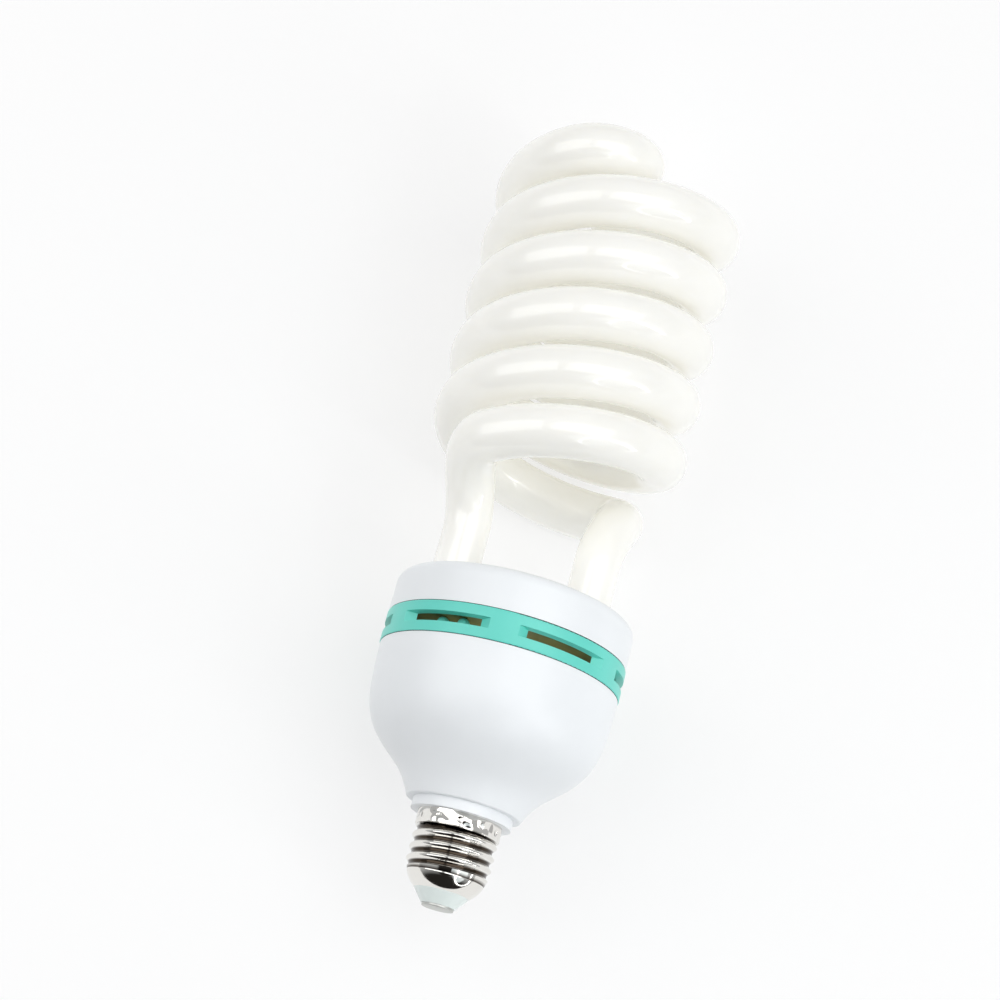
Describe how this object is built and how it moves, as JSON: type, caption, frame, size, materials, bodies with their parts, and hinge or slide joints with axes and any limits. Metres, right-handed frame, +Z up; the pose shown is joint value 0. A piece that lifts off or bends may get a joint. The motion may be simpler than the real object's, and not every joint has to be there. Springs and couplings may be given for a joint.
{
  "type": "photo studio bulb",
  "caption": "Spiral fluorescent photo studio bulb with a double helix tube, ballast housing with vent ring and screw cap.",
  "frame": {"origin": "centre of the outer face of the cap's centre contact", "axes": "+Y along the lamp from the cap to the tip of the spiral, +Z up as the lamp lies, +X to its right"},
  "size_m": [0.0842, 0.261, 0.0842],
  "materials": {
    "coated_glass": "white coated glass, glossy",
    "cement": "dull white cement",
    "white_plastic": "satin white moulding",
    "teal_plastic": "satin teal moulding",
    "nickel": "bright nickel plate",
    "mint_insulator": "pale mint, smooth",
    "tinned_contact": "dull tinned metal",
    "board": "brown phenolic board",
    "dark_sleeve": "dark shrink sleeve",
    "ferrite": "dark grey ferrite",
    "bobbin_plastic": "natural moulding",
    "copper_wire": "enamelled copper wire",
    "black_resin": "black moulded resin",
    "film_case": "dipped red-brown coat",
    "resistor_coat": "tan lacquer",
    "wire_jacket": "white insulated wire"
  },
  "bodies": {
    "root": {"spiral_tube": "coated_glass", "tube_cement": "cement", "top_cover": "white_plastic", "vent_ring": "teal_plastic", "lower_housing": "white_plastic", "cap_shell": "nickel", "cap_insulator": "mint_insulator", "centre_contact": "tinned_contact", "ballast_board": "board", "bulk_capacitor": "dark_sleeve", "choke_core": "ferrite", "choke_bobbin": "bobbin_plastic", "choke_winding": "copper_wire", "drive_toroid": "ferrite", "power_transistors": "black_resin", "film_capacitors": "film_case", "rectifier_diodes": "black_resin", "resistors": "resistor_coat", "fuse_resistor": "resistor_coat", "filter_inductor": "ferrite", "wrap_pins": "tinned_contact", "filament_leads": "tinned_contact", "supply_wires": "wire_jacket"}
  },
  "joints": []
}
